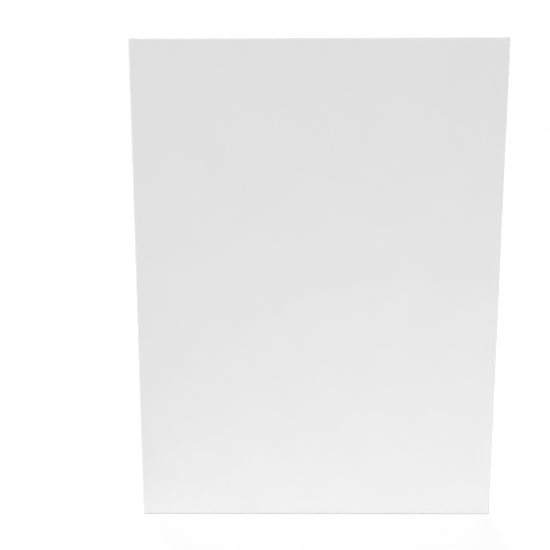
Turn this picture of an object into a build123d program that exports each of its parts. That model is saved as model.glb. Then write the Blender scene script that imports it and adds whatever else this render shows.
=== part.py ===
from build123d import *

import os
from math import cos, pi, radians, sin

# A stretched artist's canvas, 18 by 24 inches and 3/4 inch deep, in millimetres.
#
# Four mitred stretcher bars are slipped together at the corners, and a cross brace joins the
# side bars at mid-height. Primed cloth is pulled over the front and the four edges, and its
# margin is stapled to the back of the bars.
#
# The canvas stands upright on its bottom edge: +Z is up, the painting face looks along -Y
# and the stapled back along +Y. The origin is the middle of the bottom edge.

# The whole canvas
WIDTH = 457.2
HEIGHT = 609.6
DEPTH = 19.05

# The cloth
CLOTH = 0.6  # thickness of the primed cloth
BACK_MARGIN = 20.0  # cloth turned onto the back, from the outer edge
CORNER_RADIUS = 2.4  # the four outer corners, seen from the front
FRONT_RADIUS = 1.8  # the front edges
BACK_RADIUS = 1.2  # the back edges

# The stretcher bars
BAR_WIDTH = 32.5
BAR_DEPTH = DEPTH - 2 * CLOTH
LIP_WIDTH = 6.0  # the raised outer bead that carries the cloth
LIP_STEP = 1.0  # the bead's slope down to the bevel, across and deep
BEVEL_DROP = 3.0  # how far the front falls away from the cloth at the inner edge
INNER_EASE = 1.2  # the eased corner between the bevel and the inner wall
INNER_CHAMFER = 3.5  # the chamfer between the inner wall and the back

# The slip joint at each corner: a mitred front skin, two tongues and a mitred back skin
SKIN = 5.4  # depth of the front skin
TONGUE = 3.5  # thickness of each tongue
SLIP = 0.1  # play between a tongue and its slot
TIP_GAP = 0.8  # how far a tongue's tip stops short of the outer edge
SHOULDER = 0.3  # how far its side stands back from the inner wall

# The cross brace
BRACE_HEIGHT = 30.5
BRACE_THICKNESS = 11.0
BRACE_RECESS = 3.7  # from the back of the bars to the back of the brace
BRACE_CHAMFER_Z = 4.8  # the chamfers along its back edges, measured up and down
BRACE_CHAMFER_Y = 3.6  # and measured into the depth
TENON_LENGTH = 11.0
TENON_HEIGHT = 20.0
TENON_THICKNESS = 6.0
MORTISE_PLAY = 0.5  # left at the tenon's end

# The staples
CROWN = 10.8  # length of the crown, outside
LEG = 8.0  # depth that the legs reach, from the crown's outer face
WIRE_WIDTH = 0.95
WIRE_THICKNESS = 0.55
WIRE_BEND = 0.9  # outer radius of the bends
STAPLE_LINE = 10.0  # from the outer edge to each row of staples
TOP_LINE = 8.5  # and to the top row

# Where the pieces meet
FRAME_LEFT = -WIDTH / 2 + CLOTH
FRAME_RIGHT = WIDTH / 2 - CLOTH
FRAME_BOTTOM = CLOTH
FRAME_TOP = HEIGHT - CLOTH
FRAME_FRONT = -DEPTH / 2 + CLOTH
FRAME_BACK = DEPTH / 2 - CLOTH
CLOTH_BACK = DEPTH / 2
INNER_X = FRAME_RIGHT - BAR_WIDTH  # the side bars' inner walls stand at +-INNER_X
BRACE_Z = HEIGHT / 2
BRACE_BACK = FRAME_BACK - BRACE_RECESS
BRACE_MIDDLE = BRACE_BACK - BRACE_THICKNESS / 2


def rounded_block(inset):
    """The canvas's outline as a block with softened edges, taken in by inset all round."""
    with BuildPart() as block:
        with Locations((0, 0, HEIGHT / 2)):
            Box(WIDTH - 2 * inset, DEPTH - 2 * inset, HEIGHT - 2 * inset)
        fillet(block.edges().filter_by(Axis.Y), CORNER_RADIUS - inset)
        fillet(block.faces().sort_by(Axis.Y)[0].edges(), FRONT_RADIUS - inset)
        fillet(block.faces().sort_by(Axis.Y)[-1].edges(), BACK_RADIUS - inset)
    return block.part


def write(builder, name):
    """Names a finished piece and writes it to its own file."""
    builder.part.label = name
    export_step(builder.part, f"parts/{name}.step")


# ---------------------------------------------------------------------------------------
# Staples: flat galvanised wire, bent into a U and driven through the cloth into the bars.


def evenly(first, last, count):
    """Count places from first to last, with equal gaps."""
    step = (last - first) / (count - 1)
    return [first + step * i for i in range(count)]


def by_hand(places, wander, crowding, phase):
    """The same places as a hand sets them: each a little off, and crowded towards the far end."""
    last = len(places) - 1
    return [
        place + wander * sin(phase + 2.8 * i) * sin(pi * i / last) + crowding * sin(pi * i / last)
        for i, place in enumerate(places)
    ]


def staple_row(x_places, z_places, crown_angle, phase, most_tilt, corner_tilt):
    """A row of staples at those places, their crowns near that angle up from the X axis.

    The first is askew by corner_tilt, and each one after it by half as much.
    """
    with BuildPart() as row:
        for i, (x, z) in enumerate(zip(x_places, z_places)):
            askew = corner_tilt * 0.5**i + most_tilt * sin(phase + 1.9 * i)
            angle = radians(crown_angle + askew)
            crown = (cos(angle), 0, sin(angle))
            across = (-sin(angle), 0, cos(angle))
            with BuildSketch(Plane((x, CLOTH_BACK, z), x_dir=crown, z_dir=across)):
                with BuildLine():
                    half = CROWN / 2
                    outside = FilletPolyline(
                        (-half, -LEG), (-half, 0), (half, 0), (half, -LEG), radius=WIRE_BEND
                    )
                    half = CROWN / 2 - WIRE_THICKNESS
                    inside = FilletPolyline(
                        (-half, -LEG),
                        (-half, -WIRE_THICKNESS),
                        (half, -WIRE_THICKNESS),
                        (half, -LEG),
                        radius=WIRE_BEND - WIRE_THICKNESS,
                    )
                    Line(outside @ 0, inside @ 0)
                    Line(outside @ 1, inside @ 1)
                make_face()
            extrude(amount=WIRE_WIDTH / 2, both=True)
    return row


TOP_FIRST = 10.3  # from the side edges to the end staples of the top row
BOTTOM_FIRST = 10.3
SIDE_FIRST = 34.5  # from the top edge to the first staple of each side row
SIDE_LAST = 39.5  # from the bottom edge to the last one

top_x = by_hand(evenly(WIDTH / 2 - TOP_FIRST, TOP_FIRST - WIDTH / 2, 12), 4.5, 9.0, 5.05)
bottom_x = by_hand(evenly(WIDTH / 2 - BOTTOM_FIRST, BOTTOM_FIRST - WIDTH / 2, 10), 2.5, 0.0, 2.0)
side_z = evenly(HEIGHT - SIDE_FIRST, SIDE_LAST, 12)
right_z = by_hand(side_z, 3.1, -17.5, 6.1)
left_z = by_hand(side_z, 3.0, -6.0, 4.1)
side_x = WIDTH / 2 - STAPLE_LINE

staples_top = staple_row(top_x, [HEIGHT - TOP_LINE] * 12, 0, 0.0, 2.5, 0.0)
staples_bottom = staple_row(bottom_x, [STAPLE_LINE] * 10, 0, 0.0, 3.0, -11.0)
staples_right = staple_row([side_x] * 12, right_z, 90, 0.0, 3.5, -19.0)
staples_left = staple_row([-side_x] * 12, left_z, 90, 3.0, 4.0, 8.0)
staple_rows = [staples_top, staples_bottom, staples_right, staples_left]


# ---------------------------------------------------------------------------------------
# Stretcher bars: planed pine with a raised lip at the front and slip joints at both ends.


def joint_cuts(end, inward_sign, tongue_at_front):
    """The outlines on the bar's plan that are cut away at one end, each with its two depths.

    inward_sign is +1 at the bar's start and -1 at its finish.
    """
    inner = end + inward_sign * BAR_WIDTH
    tip = end + inward_sign * TIP_GAP
    side = BAR_WIDTH - SHOULDER
    mitre = [(0, end), (BAR_WIDTH, end), (BAR_WIDTH, inner)]
    square = [(0, end), (BAR_WIDTH, end), (BAR_WIDTH, inner), (0, inner)]
    around_tongue = [(0, end), (BAR_WIDTH, end), (BAR_WIDTH, inner), (side, inner), (side, tip), (0, tip)]
    middle = SKIN + TONGUE
    finish = SKIN + 2 * TONGUE
    if tongue_at_front:
        return [
            (mitre, 0, SKIN),
            (around_tongue, SKIN, middle),
            (square, middle, finish + SLIP),
            (mitre, finish + SLIP, BAR_DEPTH),
        ]
    return [
        (mitre, 0, SKIN - SLIP),
        (square, SKIN - SLIP, middle),
        (around_tongue, middle, finish),
        (mitre, finish, BAR_DEPTH),
    ]


def stretcher_bar(corner_x, corner_z, inward, along, length):
    """A bar from one outer corner of the frame, running along its edge."""
    corner = (corner_x, FRAME_FRONT, corner_z)
    plan = Plane(corner, x_dir=inward, z_dir=(0, -1, 0))
    with BuildPart() as bar:
        # The section: x runs inward from the outer edge and y back from the lip.
        with BuildSketch(Plane(corner, x_dir=inward, z_dir=along)):
            Polygon(
                (0, 0),
                (LIP_WIDTH, 0),
                (LIP_WIDTH + LIP_STEP, LIP_STEP),
                (BAR_WIDTH - INNER_EASE, BEVEL_DROP),
                (BAR_WIDTH, BEVEL_DROP + INNER_EASE),
                (BAR_WIDTH, BAR_DEPTH - INNER_CHAMFER),
                (BAR_WIDTH - INNER_CHAMFER, BAR_DEPTH),
                (0, BAR_DEPTH),
                align=None,
            )
        extrude(amount=length)
        for outline, start, stop in joint_cuts(0, 1, True) + joint_cuts(length, -1, False):
            with BuildSketch(plan.offset(-start)):
                Polygon(*outline, align=None)
            extrude(amount=start - stop, mode=Mode.SUBTRACT)
        with Locations((INNER_X, BRACE_MIDDLE, BRACE_Z), (-INNER_X, BRACE_MIDDLE, BRACE_Z)):
            mortise = TENON_LENGTH + MORTISE_PLAY
            Box(2 * mortise, TENON_THICKNESS, TENON_HEIGHT, mode=Mode.SUBTRACT)
        add(rounded_block(CLOTH), mode=Mode.INTERSECT)
        for row in staple_rows:
            add(row.part, mode=Mode.SUBTRACT)
    return bar


FRAME_WIDTH = FRAME_RIGHT - FRAME_LEFT
FRAME_HEIGHT = FRAME_TOP - FRAME_BOTTOM
stretcher_bar_left = stretcher_bar(FRAME_LEFT, FRAME_BOTTOM, (1, 0, 0), (0, 0, 1), FRAME_HEIGHT)
stretcher_bar_top = stretcher_bar(FRAME_LEFT, FRAME_TOP, (0, 0, -1), (1, 0, 0), FRAME_WIDTH)
stretcher_bar_right = stretcher_bar(FRAME_RIGHT, FRAME_TOP, (-1, 0, 0), (0, 0, -1), FRAME_HEIGHT)
stretcher_bar_bottom = stretcher_bar(FRAME_RIGHT, FRAME_BOTTOM, (0, 0, 1), (-1, 0, 0), FRAME_WIDTH)


# ---------------------------------------------------------------------------------------
# Cross brace: a flat pine rail with chamfered back edges and a tenon in each side bar.

with BuildPart() as cross_brace:
    with BuildSketch(Plane.YZ.offset(-INNER_X)):
        Polygon(
            (BRACE_BACK - BRACE_THICKNESS, BRACE_Z - BRACE_HEIGHT / 2),
            (BRACE_BACK - BRACE_CHAMFER_Y, BRACE_Z - BRACE_HEIGHT / 2),
            (BRACE_BACK, BRACE_Z - BRACE_HEIGHT / 2 + BRACE_CHAMFER_Z),
            (BRACE_BACK, BRACE_Z + BRACE_HEIGHT / 2 - BRACE_CHAMFER_Z),
            (BRACE_BACK - BRACE_CHAMFER_Y, BRACE_Z + BRACE_HEIGHT / 2),
            (BRACE_BACK - BRACE_THICKNESS, BRACE_Z + BRACE_HEIGHT / 2),
            align=None,
        )
    extrude(amount=2 * INNER_X)
    with Locations((0, BRACE_MIDDLE, BRACE_Z)):
        Box(2 * (INNER_X + TENON_LENGTH), TENON_THICKNESS, TENON_HEIGHT)


# ---------------------------------------------------------------------------------------
# Canvas: one piece of primed cloth over the front and the edges, turned onto the back.

with BuildPart() as canvas:
    add(rounded_block(0))
    add(rounded_block(CLOTH), mode=Mode.SUBTRACT)
    with Locations((0, CLOTH_BACK - CLOTH / 2, HEIGHT / 2)):
        Box(WIDTH - 2 * BACK_MARGIN, CLOTH, HEIGHT - 2 * BACK_MARGIN, mode=Mode.SUBTRACT)
    for staples in staple_rows:
        add(staples.part, mode=Mode.SUBTRACT)


os.makedirs("parts", exist_ok=True)
write(stretcher_bar_left, "stretcher_bar_left")
write(stretcher_bar_top, "stretcher_bar_top")
write(stretcher_bar_right, "stretcher_bar_right")
write(stretcher_bar_bottom, "stretcher_bar_bottom")
write(cross_brace, "cross_brace")
write(canvas, "canvas")
write(staples_top, "staples_top")
write(staples_bottom, "staples_bottom")
write(staples_right, "staples_right")
write(staples_left, "staples_left")
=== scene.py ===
import math

import bmesh
import bpy
from mathutils import Matrix, Vector, noise


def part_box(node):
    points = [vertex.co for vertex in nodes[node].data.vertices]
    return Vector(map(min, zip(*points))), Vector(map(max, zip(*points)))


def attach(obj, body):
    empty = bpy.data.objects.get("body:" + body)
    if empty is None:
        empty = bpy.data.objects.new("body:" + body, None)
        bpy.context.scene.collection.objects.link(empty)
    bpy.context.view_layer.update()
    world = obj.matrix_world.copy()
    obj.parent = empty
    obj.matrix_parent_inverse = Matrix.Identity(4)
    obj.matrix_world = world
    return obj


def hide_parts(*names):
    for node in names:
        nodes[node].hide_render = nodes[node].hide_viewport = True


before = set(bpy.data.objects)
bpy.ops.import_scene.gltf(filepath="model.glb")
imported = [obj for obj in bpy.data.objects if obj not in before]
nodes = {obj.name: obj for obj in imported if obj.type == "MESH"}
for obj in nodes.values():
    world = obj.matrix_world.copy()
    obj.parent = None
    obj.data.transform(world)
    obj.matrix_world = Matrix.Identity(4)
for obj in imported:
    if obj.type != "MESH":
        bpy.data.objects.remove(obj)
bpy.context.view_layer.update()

# ---------------------------------------------------------------------------------------
# Stretcher bars
#
# Four bars of planed, unfinished pine with a raised lip at the front. They are milled to one
# section, mitred, and slipped together at the corners. The grain runs along each bar.

KNOT_BROWN = (0.30, 0.15, 0.05)
KNOT_REACH = (0.0085, 0.0024)  # how far the rings swerve, along the bar and across it
PLANER_RIPPLE = 0.0031  # from one ripple to the next


class Value:
    """A value in a node tree. Arithmetic on it adds the Math node that does it."""

    def __init__(self, tree, socket):
        self.tree = tree
        self.socket = socket

    def math(self, operation, *values):
        return self.tree.add("ShaderNodeMath", {"operation": operation}, dict(enumerate(values)))

    def __add__(self, other):
        return self.math("ADD", self, other)

    def __radd__(self, other):
        return self.math("ADD", other, self)

    def __sub__(self, other):
        return self.math("SUBTRACT", self, other)

    def __rsub__(self, other):
        return self.math("SUBTRACT", other, self)

    def __mul__(self, other):
        return self.math("MULTIPLY", self, other)

    def __rmul__(self, other):
        return self.math("MULTIPLY", other, self)

    def __truediv__(self, other):
        return self.math("DIVIDE", self, other)

    def __rtruediv__(self, other):
        return self.math("DIVIDE", other, self)

    def __pow__(self, other):
        return self.math("POWER", self, other)

    def sine(self):
        return self.math("SINE", self)

    def absolute(self):
        return self.math("ABSOLUTE", self)

    def fraction(self):
        return self.math("FRACT", self)

    def greater(self, other):
        return self.math("MAXIMUM", self, other)


class Tree:
    """The nodes of a material or of the world."""

    def __init__(self, node_tree):
        self.node_tree = node_tree

    def connect(self, socket, value):
        if isinstance(value, Value):
            self.node_tree.links.new(value.socket, socket)
        elif isinstance(value, tuple) and len(value) == 3 and socket.type == "RGBA":
            socket.default_value = (*value, 1.0)
        else:
            socket.default_value = value

    def add(self, kind, settings, sockets, output=None):
        """Adds a node and returns the output of that name, or else its one output or a list."""
        node = self.node_tree.nodes.new(kind)
        for setting, value in settings.items():
            setattr(node, setting, value)
        for key, value in sockets.items():
            if isinstance(key, str):
                socket = next(s for s in node.inputs if s.enabled and s.name == key)
            else:
                socket = node.inputs[key]
            self.connect(socket, value)
        if output:
            return Value(self, node.outputs[output])
        outputs = [Value(self, s) for s in node.outputs if s.enabled]
        return outputs[0] if len(outputs) == 1 else outputs


class Finish(Tree):
    """A material with a Principled shader, and the nodes that vary it over the surface."""

    def __init__(self, name, **constants):
        self.material = bpy.data.materials.new(name)
        self.material.use_nodes = True
        super().__init__(self.material.node_tree)
        self.shader = self.node_tree.nodes["Principled BSDF"]
        for socket, value in constants.items():
            self.shader.inputs[socket.replace("_", " ")].default_value = value

    def object_point(self):
        """The point on the surface, in metres in the object's own frame."""
        return self.add("ShaderNodeTexCoord", {}, {}, "Object")

    def split(self, vector):
        return self.add("ShaderNodeSeparateXYZ", {}, {0: vector})

    def join(self, x, y, z):
        return self.add("ShaderNodeCombineXYZ", {}, {0: x, 1: y, 2: z})

    def cloud(self, where, scale, detail=2.0, roughness=0.5):
        """Soft noise, from 0 to 1, at that many swings to the metre."""
        settings = {"noise_dimensions": "3D"}
        sockets = {"Vector": where, "Scale": scale, "Detail": detail, "Roughness": roughness}
        return self.add("ShaderNodeTexNoise", settings, sockets)[0]

    def blend(self, amount, first, second):
        """A colour between two, by an amount from 0 to 1."""
        settings = {"data_type": "RGBA", "clamp_factor": True}
        return self.add("ShaderNodeMix", settings, {"Factor": amount, "A": first, "B": second})

    def step(self, value, low, high):
        """0 below low, 1 above high, and smooth between them."""
        settings = {"interpolation_type": "SMOOTHSTEP", "clamp": True}
        sockets = {"Value": value, "From Min": low, "From Max": high}
        return self.add("ShaderNodeMapRange", settings, sockets)

    def relief(self, height):
        """Bump from a height in metres."""
        sockets = {"Strength": 1.0, "Distance": 1.0, "Height": height}
        self.connect(self.shader.inputs["Normal"], self.add("ShaderNodeBump", {}, sockets))

    def vary(self, socket, value):
        self.connect(self.shader.inputs[socket], value)


def pine(name, along, seed, early, late, pitch, pith, climb=0.0, knot=None):
    """Planed pine whose grain runs along the X or the Z axis.

    early and late are the colours of the two parts of a growth ring, and pitch is the ring's
    width. pith is the middle of the tree, as (across, depth), and climb how far the rings
    climb towards it in each metre of the bar. knot is the middle of a small swirl in the
    grain, with a faint dark core, as (along, across).
    """
    finish = Finish(name, Specular_IOR_Level=0.35)
    x, y, z = finish.split(finish.object_point())
    grain, across = (x, z) if along == "X" else (z, x)
    # Rings about the pith, which swim slowly from side to side and swerve round the knot.
    radius = ((across - pith[0]) ** 2 + (y - pith[1]) ** 2) ** 0.5
    drift = finish.cloud(finish.join(grain * 2.2, across * 8.0, y * 8.0 + seed), 1.0, 2.0)
    waver = finish.cloud(finish.join(grain * 21.0, across * 90.0, y * 90.0 + seed), 1.0, 2.0)
    uneven = finish.cloud(finish.join(radius * 130.0, seed, grain * 0.5), 1.0, 2.0)
    wander = drift * 0.0042 + waver * 0.0017 + uneven * pitch * 3.2
    rings = (radius + grain * climb + wander) / pitch
    if knot:
        knot_along, knot_across = knot
        lengthwise = (grain - knot_along) / KNOT_REACH[0]
        sideways = (across - knot_across) / KNOT_REACH[1]
        reach = lengthwise ** 2 + sideways ** 2
        rings = rings + 1.3 / (1.0 + reach)
        core = 1.0 - finish.step(reach, 0.04, 0.30)
    # Each ring darkens slowly from its early wood to its late wood, and ends sharply.
    phase = (rings + seed * 0.37).fraction()
    dense = finish.step(phase, 0.05, 0.78) * (1.0 - finish.step(phase, 0.80, 1.0))
    # Fibres, streaks, bands and short resin canals are all much longer than they are wide, and
    # the tone changes slowly over the whole bar.
    fibres = finish.cloud(finish.join(grain * 50.0, across * 2400.0, y * 2400.0 + seed), 1.0, 3.0, 0.6)
    streaks = finish.cloud(finish.join(grain * 32.0, across * 560.0, y * 560.0 - seed), 1.0, 2.0)
    bands = finish.cloud(finish.join(grain * 8.0, across * 170.0, y * 170.0 - 2.0 * seed), 1.0, 2.0)
    tone = finish.cloud(finish.join(grain * 6.0, across * 16.0, y * 16.0 + 3.0 * seed), 1.0, 1.0)
    canals = finish.cloud(finish.join(grain * 75.0, across * 1900.0, y * 1900.0 + seed), 1.0, 0.0)
    canals = finish.step(canals, 0.70, 0.80)
    depth = dense * (bands * 1.3 - 0.10) + (fibres - 0.5) * 0.5 + (tone - 0.5) * 0.4
    depth = depth + (streaks - 0.5) * 1.05 + (bands - 0.5) * 0.8 + canals * 0.35 + 0.13
    colour = finish.blend(depth, early, late)
    if knot:
        colour = finish.blend(core * 0.25, colour, KNOT_BROWN)
    finish.vary("Base Color", colour)
    finish.vary("Roughness", 0.52 + fibres * 0.22 - dense * 0.08)
    # Late wood stands a little proud, fibres are torn, and the planer leaves faint ripples.
    ripple = (grain * (2.0 * math.pi / PLANER_RIPPLE)).sine()
    finish.relief(dense * 0.000012 + fibres * 0.000055 + streaks * 0.00002 + ripple * 0.0000022)
    return finish.material


def paint(node, material):
    """Gives a CAD node's object one material."""
    mesh = nodes[node].data
    mesh.materials.clear()
    mesh.materials.append(material)


# The rings lie flat in the face of the bottom bar and slant through the top bar. The side
# bars are cut across the rings, which makes straight lines along them.
bar_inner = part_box("stretcher_bar_right")[0].x
top_middle = (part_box("stretcher_bar_top")[0].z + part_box("stretcher_bar_top")[1].z) / 2
bottom_middle = (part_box("stretcher_bar_bottom")[0].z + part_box("stretcher_bar_bottom")[1].z) / 2
# The top bar's colours are partly its own darker tone and partly painted shade: they are turned down a
# little for the shade that falls on its downward-facing chamfer.
pine_top_with_painted_shade = pine(
    "pine_top_with_painted_shade", "X", 2.0, (0.637, 0.498, 0.214), (0.419, 0.280, 0.086), 0.0024,
    (top_middle - 0.031, -0.022), 0.004,
)
pine_bottom = pine(
    "pine_bottom", "X", 5.3, (0.75, 0.645, 0.41), (0.53, 0.40, 0.18), 0.0019,
    (bottom_middle + 0.004, -0.030), 0.030,
)
pine_right = pine(
    "pine_right", "Z", 3.1, (0.82, 0.648, 0.293), (0.398, 0.231, 0.048), 0.0037,
    (bar_inner + 0.085, 0.004), 0.003, (0.528, bar_inner + 0.0072),
)
pine_left = pine(
    "pine_left", "Z", 7.9, (0.85, 0.682, 0.329), (0.406, 0.247, 0.058), 0.0033,
    (-bar_inner + 0.070, -0.012), -0.004, (0.212, -bar_inner - 0.0080),
)
paint("stretcher_bar_top", pine_top_with_painted_shade)
paint("stretcher_bar_bottom", pine_bottom)
paint("stretcher_bar_left", pine_left)
paint("stretcher_bar_right", pine_right)

# ---------------------------------------------------------------------------------------
# Cross brace
#
# A flat rail of the same pine, with little contrast in its grain. It keeps the long bars
# from bowing in, and its tenons stand in mortises in the side bars.

brace_middle = (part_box("cross_brace")[0].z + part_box("cross_brace")[1].z) / 2
pine_brace = pine(
    "pine_brace", "X", 11.0, (0.70, 0.555, 0.25), (0.58, 0.43, 0.165), 0.0036,
    (brace_middle - 0.006, -0.055), 0.010,
)
paint("cross_brace", pine_brace)

# ---------------------------------------------------------------------------------------
# Staples
#
# Flat galvanised wire, bent into a U and driven flush through the cloth. The crowns are dull
# and dark, with fine scratches.

STAPLE_NODES = ("staples_top", "staples_bottom", "staples_left", "staples_right")


def staple_wire():
    finish = Finish("staple_wire", Metallic=1.0, Specular_IOR_Level=0.5)
    point = finish.object_point()
    scratches = finish.cloud(point, 2400.0, 3.0, 0.7)
    dull = finish.cloud(point, 160.0, 2.0)
    finish.vary("Base Color", finish.blend(dull, (0.09, 0.09, 0.095), (0.20, 0.20, 0.205)))
    finish.vary("Roughness", 0.30 + scratches * 0.25)
    finish.relief(scratches * 0.00002)
    return finish.material


wire = staple_wire()
for staple_node in STAPLE_NODES:
    paint(staple_node, wire)

# ---------------------------------------------------------------------------------------
# Canvas
#
# One cut of cotton cloth, primed white on the outside and raw on the inside. It is pulled
# over the lip and the edges of the bars and stapled to their backs. The top and bottom flaps
# are folded last, with their ends turned under, so they lie over the ends of the side flaps.

cloth_low, cloth_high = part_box("canvas")
HALF_WIDTH = cloth_high.x
HALF_HEIGHT = (cloth_high.z - cloth_low.z) / 2
MIDDLE_Z = (cloth_high.z + cloth_low.z) / 2
DEPTH = cloth_high.y - cloth_low.y
MARGIN = 0.0200  # cloth turned onto the back
THICKNESS = 0.00055
FRONT_RADIUS = 0.0018
BACK_RADIUS = 0.0012
HEM = 0.00045  # radius of the fold where a flap's end is turned under
TUCK = 0.0050  # how much is turned under
SIDE_BEND = 0.0010  # radius where a side flap turns over the end of its edge
TUCK_DROP = 0.0007  # and how far that lies below the flap on top
UNDERLAP = 0.0014  # how much of that bend goes on round the back edge
END_LIFT = 0.0004  # how far the turned end holds a flap off the edge
LAP_LIFT = 0.00062  # how far a flap stands off the back where it lies over a side flap
CREASE_DEPTH = 0.00022  # creases that run in from the corners
CREASE_PITCH = 0.0046
RELIEF_START = 0.0020  # length past the back edge over which the back's unevenness sets in
FRONT_SLACK = 0.00012  # how far the taut front wanders from a plane
SEAM_WIDTH = 0.0012  # width over which a corner's cloth passes from one flap to the other
GRID = 0.0025  # from one line of the cloth's grid to the next
FINE_FROM = 0.0090  # how far inside the front edge's curve the lines for the fold begin
TRIM_BEFORE = 0.0010  # how far before the back edge's curve the corner's trim begins
CUT_WANDER = ((0.0007, 0.06), (0.00018, 0.008))  # how far the cut edge wanders, in what length

# Distances along the cloth from the start of the front edge's curve
SIDE_AT = FRONT_RADIUS * math.pi / 2
BACK_BEND_AT = SIDE_AT + DEPTH - FRONT_RADIUS - BACK_RADIUS
BACK_AT = BACK_BEND_AT + BACK_RADIUS * math.pi / 2
CUT_AT = BACK_AT + MARGIN - BACK_RADIUS
FLAT_X = HALF_WIDTH - FRONT_RADIUS
FLAT_Z = HALF_HEIGHT - FRONT_RADIUS


def smooth(value):
    value = min(max(value, 0.0), 1.0)
    return value * value * (3.0 - 2.0 * value)


def wrap(distance):
    """Where a flap is, at that distance round its edge.

    Returns how far it is outside the frame's edge, its depth from the front, and the
    outward direction in those two.
    """
    if distance <= 0.0:
        return -FRONT_RADIUS + distance, 0.0, 0.0, -1.0
    if distance < SIDE_AT:
        angle = distance / FRONT_RADIUS
        out, deep = math.sin(angle), math.cos(angle)
        return FRONT_RADIUS * (out - 1.0), FRONT_RADIUS * (1.0 - deep), out, -deep
    if distance < BACK_BEND_AT:
        return 0.0, FRONT_RADIUS + distance - SIDE_AT, 1.0, 0.0
    if distance < BACK_AT:
        angle = (distance - BACK_BEND_AT) / BACK_RADIUS
        out, deep = math.cos(angle), math.sin(angle)
        return BACK_RADIUS * (out - 1.0), DEPTH + BACK_RADIUS * (deep - 1.0), out, deep
    return BACK_AT - BACK_RADIUS - distance, DEPTH, 0.0, 1.0


CROWN_GAP = 0.015  # longer than a crown, and shorter than the space between two
ON_TOP = 0.0001  # how close to a staple's highest point its crown's face is


def crowns(node):
    """The middle and the direction of each staple's crown on the back, read from the frame."""
    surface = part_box(node)[1].y - ON_TOP
    points = [Vector((v.co.x, v.co.z)) for v in nodes[node].data.vertices if v.co.y > surface]
    low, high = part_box(node)
    axis = 0 if high.x - low.x > high.z - low.z else 1
    points.sort(key=lambda point: point[axis])
    groups = [[points[0]]]
    for point in points[1:]:
        if point[axis] - groups[-1][-1][axis] > CROWN_GAP:
            groups.append([])
        groups[-1].append(point)
    found = []
    for group in groups:
        middle = (group[0] + group[-1]) / 2
        half = len(group) // 2
        start = sum(group[:half], Vector((0.0, 0.0))) / half
        finish = sum(group[-half:], Vector((0.0, 0.0))) / half
        found.append((middle, (finish - start).normalized()))
    return found


staples = {node: crowns(node) for node in STAPLE_NODES}

PULL_REACH = 0.03  # further off than this a staple doesn't move the cloth
CROWN_HALF = 0.0046  # half of the length that a crown presses flat
CROWN_SINK = 0.00040
HOLLOW_DEPTH = 0.00012  # the wide hollow round a staple
HOLLOW_REACH = 0.0105
PUCKER_DEPTH = 0.00019  # the small folds beside its ends
PUCKER_PITCH = 0.0058
PUCKER_START = 0.0054

def pressed(x, z, near, lift):
    """How far the staples press the cloth down there, and the small folds that they pull in it."""
    drop = 0.0
    for middle, along in near:
        apart = Vector((x, z)) - middle
        if apart.length > PULL_REACH:
            continue
        lengthwise = apart.dot(along)
        sideways = apart.dot(Vector((-along.y, along.x)))
        past_end = max(abs(lengthwise) - CROWN_HALF, 0.0)
        dip = math.exp(-((past_end / 0.0024) ** 2) - (sideways / 0.0022) ** 2)
        drop += dip * (lift + CROWN_SINK)
        hollow = math.exp(-((apart.length / HOLLOW_REACH) ** 2))
        drop += HOLLOW_DEPTH * hollow
        puckers = math.cos(2.0 * math.pi * (abs(lengthwise) - PUCKER_START) / PUCKER_PITCH)
        fade = math.exp(-((past_end / 0.007) ** 2)) * (1.0 - math.exp(-((sideways / 0.0018) ** 2)))
        drop += PUCKER_DEPTH * puckers * fade * math.exp(-((sideways / 0.0085) ** 2))
    return drop


def waves(x, z, size, seed):
    """Smooth random waves of about that size, from -1 to 1."""
    return noise.noise(Vector((x / size, z / size, seed)))


FREE_STRIP = 0.0090  # width along the cut that no staple holds down


def back_relief(x, z, from_cut, near, lift):
    """How far the margin stands off the back there, on top of its own lift."""
    free = smooth(1.0 - from_cut / FREE_STRIP)
    flutter = 0.00034 + 0.00052 * waves(x, z, 0.024, 4.0)
    gentle = 0.00017 * waves(x, z, 0.015, 9.0) + 0.00012 * waves(x, z, 0.0065, 2.0)
    return max(free * flutter, 0.0) + gentle - pressed(x, z, near, lift)


def edge_relief(along, deep):
    """The slight unevenness of the cloth on the edges of the frame."""
    fade = math.sin(math.pi * min(max(deep / DEPTH, 0.0), 1.0))
    return fade * (0.00036 * noise.noise(Vector((along / 0.034, deep / 0.02, 1.0))))


def end_flap(across, run, near_staples):
    """A point of the top or bottom flap, as (x, depth, z) in one quarter of the canvas.

    across is the distance past the start of the side edge's curve, and run the distance
    along the flap. Past the corner the cloth is turned under in a flat hem.
    """
    out, deep, n_out, n_deep = wrap(run)
    straight = FRONT_RADIUS - HEM
    x, sink = FLAT_X + across, 0.0
    if across > straight:
        angle = (across - straight) / HEM
        if angle < math.pi:
            x, sink = HALF_WIDTH - HEM + HEM * math.sin(angle), HEM * (1.0 - math.cos(angle))
        else:
            x, sink = HALF_WIDTH - HEM * (1.0 + angle - math.pi), 2.0 * HEM
    round_corner = smooth(run / SIDE_AT)
    on_back = smooth((run - BACK_BEND_AT) / (BACK_AT - BACK_BEND_AT))
    lift = END_LIFT * smooth((x - HALF_WIDTH + 0.016) / 0.010) * (1.0 - on_back)
    lift += LAP_LIFT * smooth((x - HALF_WIDTH + MARGIN + 0.006) / 0.006) * on_back
    crease = math.sin(2.0 * math.pi * (run - BACK_AT) / CREASE_PITCH)
    lift += CREASE_DEPTH * crease * on_back * smooth((x - HALF_WIDTH + 0.013) / 0.009)
    offset = (lift - sink) * round_corner
    if run > BACK_AT:
        relief = near_staples(x, HALF_HEIGHT + out, CUT_AT - run, lift)
        offset += relief * smooth((run - BACK_AT) / RELIEF_START)
    else:
        offset += edge_relief(x, deep)
    return Vector((x, deep + n_deep * offset, HALF_HEIGHT + out + n_out * offset))


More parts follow.
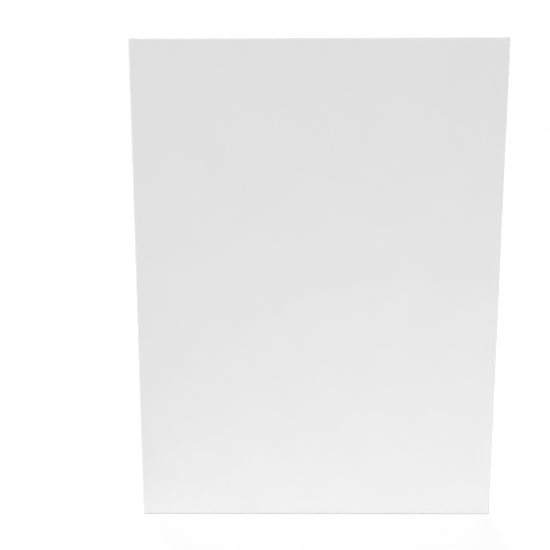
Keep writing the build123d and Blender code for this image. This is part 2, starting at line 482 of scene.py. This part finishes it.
def side_flap(run, across, near_staples, beneath):
    """The same for a side flap, which ends in a bend that goes under the end flap."""
    out, deep, n_out, n_deep = wrap(run)
    straight = FRONT_RADIUS - TUCK_DROP - SIDE_BEND
    z, inward = FLAT_Z + across, 0.0
    if across > straight:
        angle = (across - straight) / SIDE_BEND
        if angle < math.pi / 2:
            z = HALF_HEIGHT - TUCK_DROP - SIDE_BEND * (1.0 - math.sin(angle))
            inward = SIDE_BEND * (1.0 - math.cos(angle))
        else:
            z = HALF_HEIGHT - TUCK_DROP
            inward = SIDE_BEND * (1.0 + angle - math.pi / 2)
    offset = -inward
    if run > BACK_AT:
        under = 1.0 - smooth((z - HALF_HEIGHT + MARGIN + 0.003) / 0.003)
        relief = near_staples(HALF_WIDTH + out, z, CUT_AT - run, 0.0)
        pushed = beneath(HALF_WIDTH + out, z) + 0.00015
        started = smooth((run - BACK_AT) / RELIEF_START)
        offset += (relief * under - pushed * (1.0 - under)) * started
    else:
        offset += edge_relief(z, deep)
    return Vector((HALF_WIDTH + out + n_out * offset, deep + n_deep * offset, z))


def folded(flat):
    """Where a point of the flat cloth goes. flat.x runs across the canvas and flat.y up it."""
    side, end = math.copysign(1.0, flat.x), math.copysign(1.0, flat.y)
    past_side, past_end = abs(flat.x) - FLAT_X, abs(flat.y) - FLAT_Z
    end_row = staples["staples_top" if end > 0 else "staples_bottom"]
    side_row = staples["staples_right" if side > 0 else "staples_left"]

    def margin_relief(row):
        return lambda x, z, from_cut, lift: back_relief(
            side * x, MIDDLE_Z + end * z, from_cut, row, lift
        )

    def lap_relief(x, z):
        return pressed(side * x, MIDDLE_Z + end * z, end_row, LAP_LIFT)

    if past_side <= 0.0 and past_end <= 0.0:
        slack = smooth(min(-past_side, -past_end) / 0.03)
        depth = FRONT_SLACK * slack * waves(flat.x, flat.y, 0.11, 6.0)
        place = Vector((abs(flat.x), depth, abs(flat.y)))
    elif past_side <= 0.0:
        place = end_flap(past_side, past_end, margin_relief(end_row))
    elif past_end <= 0.0:
        place = side_flap(past_side, past_end, margin_relief(side_row), lap_relief)
    else:
        # The spare cloth of the corner: half goes with each flap, and they meet on the diagonal
        share = smooth(0.5 + (past_end - past_side) / SEAM_WIDTH)
        on_end = end_flap(past_side, past_end, margin_relief(end_row))
        on_side = side_flap(past_side, past_end, margin_relief(side_row), lap_relief)
        place = on_side.lerp(on_end, share)
    # The bottom edge is pressed flat where the canvas stands on it
    height = max(MIDDLE_Z + end * place.z, cloth_low.z)
    return Vector((side * place.x, cloth_low.y + place.y, height))


def cloth_lines(flat_half):
    """The places of the grid's lines along one way of the flat cloth: close at the folds."""
    millimetres = (-4.0, -1.8, -0.7, 0.0, 0.45, 0.9, 1.35, 1.7, 2.05, 2.4, 2.8, 3.4, 4.2, 5.0)
    past = [-FINE_FROM] + [mm / 1000 for mm in millimetres]
    past += [TUCK + (BACK_BEND_AT - TUCK) * i / 5 for i in range(1, 6)]
    past += [BACK_BEND_AT + (BACK_AT - BACK_BEND_AT) * i / 4 for i in range(1, 5)]
    past += [BACK_AT + (CUT_AT - 0.0004 - BACK_AT) * i / 8 for i in range(1, 9)]
    past += [CUT_AT]
    half = flat_half + past[0]
    count = 4 * round(2 * half / GRID / 4)
    inner = [-half + 2 * half * i / count for i in range(1, count)]
    outer = [flat_half + distance for distance in past]
    return [-place for place in reversed(outer)] + inner + outer


def cut_cloth():
    """The cloth as it is cut: a fine flat grid, with coarser squares in the middle."""
    columns, rows = cloth_lines(FLAT_X), cloth_lines(FLAT_Z)
    across, up = len(columns) - 1, len(rows) - 1
    cloth = bmesh.new()
    bmesh.ops.create_grid(cloth, x_segments=across, y_segments=up, size=0.5)
    column_of, row_of = {}, {}
    for vert in cloth.verts:
        column_of[vert] = round((vert.co.x + 0.5) * across)
        row_of[vert] = round((vert.co.y + 0.5) * up)
        vert.co = (columns[column_of[vert]], rows[row_of[vert]], 0.0)
    # The corners are trimmed: only what is turned under is left
    trimmed = []
    for face in cloth.faces:
        middle = face.calc_center_median()
        past_side, past_end = abs(middle.x) - FLAT_X, abs(middle.y) - FLAT_Z
        if min(past_side, past_end) > TUCK:
            trimmed.append(face)
        elif past_side > BACK_BEND_AT - TRIM_BEFORE and past_end > UNDERLAP:
            trimmed.append(face)
    bmesh.ops.delete(cloth, geom=trimmed, context="FACES")
    # Only every fourth line is kept in the flat middle of the front
    first_column = columns.index(-(FLAT_X - FINE_FROM))
    first_row = rows.index(-(FLAT_Z - FINE_FROM))
    spare = []
    for edge in cloth.edges:
        (c0, r0), (c1, r1) = [(column_of[v], row_of[v]) for v in edge.verts]
        inside_columns = first_column <= min(c0, c1) and max(c0, c1) <= across - first_column
        inside_rows = first_row <= min(r0, r1) and max(r0, r1) <= up - first_row
        if not (inside_columns and inside_rows):
            continue
        if c0 == c1 and first_column < c0 < across - first_column and (c0 - first_column) % 4:
            spare.append(edge)
        if r0 == r1 and first_row < r0 < up - first_row and (r0 - first_row) % 4:
            spare.append(edge)
    bmesh.ops.dissolve_edges(cloth, edges=spare, use_verts=True)
    return cloth


cloth = cut_cloth()
flat_cut = cloth.loops.layers.uv.new("flat_cut")
for face in cloth.faces:
    face.smooth = True
    for loop in face.loops:
        loop[flat_cut].uv = loop.vert.co.xy
for vert in cloth.verts:
    flat = vert.co.copy()
    # The cut edge was torn and trimmed by hand, so it wanders a little
    for axis, half in ((0, FLAT_X), (1, FLAT_Z)):
        past = abs(flat[axis]) - half
        if past > BACK_AT:
            along = flat[1 - axis]
            wander = 0.0
            for far, length in CUT_WANDER:
                wander += far * noise.noise(Vector((along / length, half, flat[axis] * 9.0)))
            wander *= (past - BACK_AT) / (CUT_AT - BACK_AT)
            flat[axis] += math.copysign(wander, flat[axis])
    vert.co = folded(flat)
cloth_mesh = bpy.data.meshes.new("canvas_cloth")
cloth.to_mesh(cloth_mesh)
cloth.free()
canvas_cloth = bpy.data.objects.new("canvas_cloth", cloth_mesh)
bpy.context.scene.collection.objects.link(canvas_cloth)
shell = canvas_cloth.modifiers.new("cloth_thickness", "SOLIDIFY")
shell.thickness = THICKNESS
shell.offset = -1.0
shell.material_offset = 1
shell.material_offset_rim = 2

THREAD = 0.00068  # from one thread to the next


def weave(finish, strength):
    """Plain weave on the flat cut, as a height in metres, and the point on the cut."""
    point = finish.add("ShaderNodeUVMap", {"uv_map": "flat_cut"}, {})
    u, v, _ = finish.split(point)
    crooked = finish.cloud(point, 70.0, 2.0) * 0.0009
    warp = ((u + crooked) * (math.pi / THREAD)).sine()
    weft = ((v - crooked) * (math.pi / THREAD)).sine()
    # Each warp thread goes over one weft thread and under the next
    over = warp * weft
    threads = (warp.absolute() * (over + 1.0)).greater(weft.absolute() * (1.0 - over)) * 0.5
    slubs = finish.cloud(finish.join(u * 900.0, v * 60.0, 0.0), 1.0, 2.0)
    slubs = slubs + finish.cloud(finish.join(u * 60.0, v * 900.0, 4.0), 1.0, 2.0)
    return (threads + slubs * 0.45) * strength, point


def primed_cloth():
    """White acrylic primer rolled onto cotton: satin, with the weave half filled."""
    finish = Finish("primed_cloth", Specular_IOR_Level=0.4)
    height, point = weave(finish, 0.000028)
    mottle = finish.cloud(point, 14.0, 3.0)
    rolled = finish.cloud(point, 420.0, 2.0)
    colour = finish.blend(mottle, (0.800, 0.802, 0.803), (0.838, 0.838, 0.836))
    # The primer stops just short of the cut, where the raw cotton shows
    u, v, _ = finish.split(point)
    to_cut = (u.absolute() - (FLAT_X + CUT_AT)).greater(v.absolute() - (FLAT_Z + CUT_AT))
    ragged = finish.cloud(point, 260.0, 3.0) * 0.0016
    bare = finish.step(to_cut + ragged, -0.0009, -0.0001)
    finish.vary("Base Color", finish.blend(bare * 0.8, colour, (0.86, 0.80, 0.67)))
    finish.vary("Roughness", 0.46 + rolled * 0.16)
    finish.relief(height + rolled * 0.000018)
    return finish.material


def raw_cloth():
    """Unprimed cotton: cream, with a plain weave and a few dark flecks of seed."""
    finish = Finish("raw_cloth", Specular_IOR_Level=0.2)
    height, point = weave(finish, 0.00009)
    tone = finish.cloud(point, 9.0, 3.0)
    threads = finish.step(height, 0.00004, 0.00012)
    flecks = finish.step(finish.cloud(point, 900.0, 1.0), 0.74, 0.80)
    colour = finish.blend(tone, (0.795, 0.752, 0.627), (0.860, 0.822, 0.703))
    # Painted shade: where the weave is low, between the raised threads, the colour is darkened towards
    # brown.
    colour = finish.blend(0.16 - threads * 0.16, colour, (0.50, 0.43, 0.30))
    finish.vary("Base Color", finish.blend(flecks * 0.5, colour, (0.35, 0.26, 0.15)))
    finish.vary("Roughness", 0.86 - threads * 0.08)
    finish.relief(height)
    return finish.material


def cut_edge():
    """The cut edge, where the raw threads show between the primer and the bar."""
    finish = Finish("cut_edge", Specular_IOR_Level=0.2)
    point = finish.add("ShaderNodeUVMap", {"uv_map": "flat_cut"}, {})
    threads = finish.cloud(point, 1500.0, 2.0)
    finish.vary("Base Color", finish.blend(threads, (0.66, 0.58, 0.42), (0.90, 0.86, 0.74)))
    finish.vary("Roughness", 0.82 + threads * 0.1)
    finish.relief(threads * 0.0001)
    return finish.material


for material in (primed_cloth(), raw_cloth(), cut_edge()):
    cloth_mesh.materials.append(material)

cut_width, cut_length = 2 * (FLAT_X + CUT_AT), 2 * (FLAT_Z + CUT_AT)
corner_waste = 4 * ((CUT_AT - TUCK) ** 2 + (TUCK - UNDERLAP) * (CUT_AT - BACK_BEND_AT))
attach(canvas_cloth, "root")
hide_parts("canvas")
cut_width * cut_length - corner_waste

# ---------------------------------------------------------------------------------------
# Studio
#
# A white floor and white surroundings, with soft lights on every side, and the floor's glow
# on the lower part of the canvas. The camera is a little left of its middle.

FLOOR_HALF = 30.0
SKY_LIGHT = (0.12, 0.46)  # what the surroundings shed, from below and from above
SKY_RISE = (-0.15, 0.7)  # the heights, of a direction of length 1, between which that changes
LIGHT_SPREAD = math.radians(32.0)
GLOW_WIDTH = 1.0
GLOW_REACH = 0.8
GLOW_START = 0.0102  # from the middle of the canvas's depth, just clear of the cloth
GLOW_HEIGHT = 0.0003
GLOW_SHIFT = 0.24  # the front one to the right, and the back one to the left
floor_form = bmesh.new()
bmesh.ops.create_grid(floor_form, x_segments=1, y_segments=1, size=FLOOR_HALF)
floor_mesh = bpy.data.meshes.new("floor")
floor_form.to_mesh(floor_mesh)
floor_form.free()
floor = bpy.data.objects.new("floor", floor_mesh)
floor.visible_diffuse = False
bpy.context.scene.collection.objects.link(floor)
white_floor = Finish(
    "white_floor",
    Base_Color=(0.36, 0.36, 0.36, 1.0),
    Specular_IOR_Level=0.0,
    Roughness=0.9,
    Emission_Color=(1.0, 1.0, 1.0, 1.0),
    Emission_Strength=0.68,
)
floor_mesh.materials.append(white_floor.material)

world = bpy.data.worlds.new("studio")
world.use_nodes = True
sky = world.node_tree.nodes["Background"]
sky.inputs["Color"].default_value = (1.0, 1.0, 1.0, 1.0)
# It sheds more from above than from below, and shows itself plain white to the camera.
around = Tree(world.node_tree)
direction = around.add("ShaderNodeTexCoord", {}, {}, "Generated")
upward = around.add("ShaderNodeSeparateXYZ", {}, {0: direction}, "Z")
rise = {"Value": upward, "From Min": SKY_RISE[0], "From Max": SKY_RISE[1]}
shed = around.add("ShaderNodeMapRange", {}, {**rise, "To Min": SKY_LIGHT[0], "To Max": SKY_LIGHT[1]})
camera_ray = around.add("ShaderNodeLightPath", {}, {}, "Is Camera Ray")
seen = around.add("ShaderNodeMapRange", {}, {"Value": camera_ray, "To Min": shed, "To Max": 1.0})
around.connect(sky.inputs["Strength"], seen)
bpy.context.scene.world = world

soft_lights = (
    ("front_light", (-0.28, -1.0, 0.32), 1.80),
    ("back_light", (-0.22, 1.0, 0.56), 2.15),
    ("left_light", (-1.0, 0.0, 0.12), 1.65),
    ("right_light", (1.0, 0.0, 0.12), 1.65),
)
for light_name, from_place, strength in soft_lights:
    lamp = bpy.data.lights.new(light_name, "SUN")
    lamp.energy = strength
    lamp.angle = LIGHT_SPREAD
    light = bpy.data.objects.new(light_name, lamp)
    light.location = from_place
    light.rotation_euler = (-Vector(from_place)).to_track_quat("-Z", "Y").to_euler()
    bpy.context.scene.collection.objects.link(light)

# Two lamps that the camera doesn't see stand in for the floor, which sheds no soft light here
for glow_name, side, glow in (("front_glow", -1.0, 0.47), ("back_glow", 1.0, 0.29)):
    lamp = bpy.data.lights.new(glow_name, "AREA")
    lamp.shape = "RECTANGLE"
    lamp.size = GLOW_WIDTH
    lamp.size_y = GLOW_REACH
    lamp.energy = glow * math.pi * GLOW_WIDTH * GLOW_REACH
    light = bpy.data.objects.new(glow_name, lamp)
    light.location = (-GLOW_SHIFT * side, side * (GLOW_REACH / 2 + GLOW_START), GLOW_HEIGHT)
    light.rotation_euler = (math.pi, 0.0, 0.0)
    light.visible_camera = False
    bpy.context.scene.collection.objects.link(light)

LENS = 55.64  # on a 36 mm sensor
CAMERA_AWAY = 1.0500  # from the painting face
CAMERA_PLACE = Vector((-0.0445, cloth_low.y - CAMERA_AWAY, 0.5139))
PITCH_DOWN = math.radians(10.37)
TURN_LEFT = math.radians(0.48)
ROLL_RIGHT = math.radians(0.144)
camera_data = bpy.data.cameras.new("camera")
camera_data.lens = LENS
camera_data.clip_end = 100.0
camera = bpy.data.objects.new("camera", camera_data)
camera.location = CAMERA_PLACE
turn = Matrix.Rotation(TURN_LEFT, 3, "Z") @ Matrix.Rotation(math.pi / 2 - PITCH_DOWN, 3, "X")
camera.rotation_euler = (turn @ Matrix.Rotation(-ROLL_RIGHT, 3, "Z")).to_euler()
bpy.context.scene.collection.objects.link(camera)
bpy.context.scene.camera = camera
bpy.context.scene.view_settings.view_transform = "Standard"
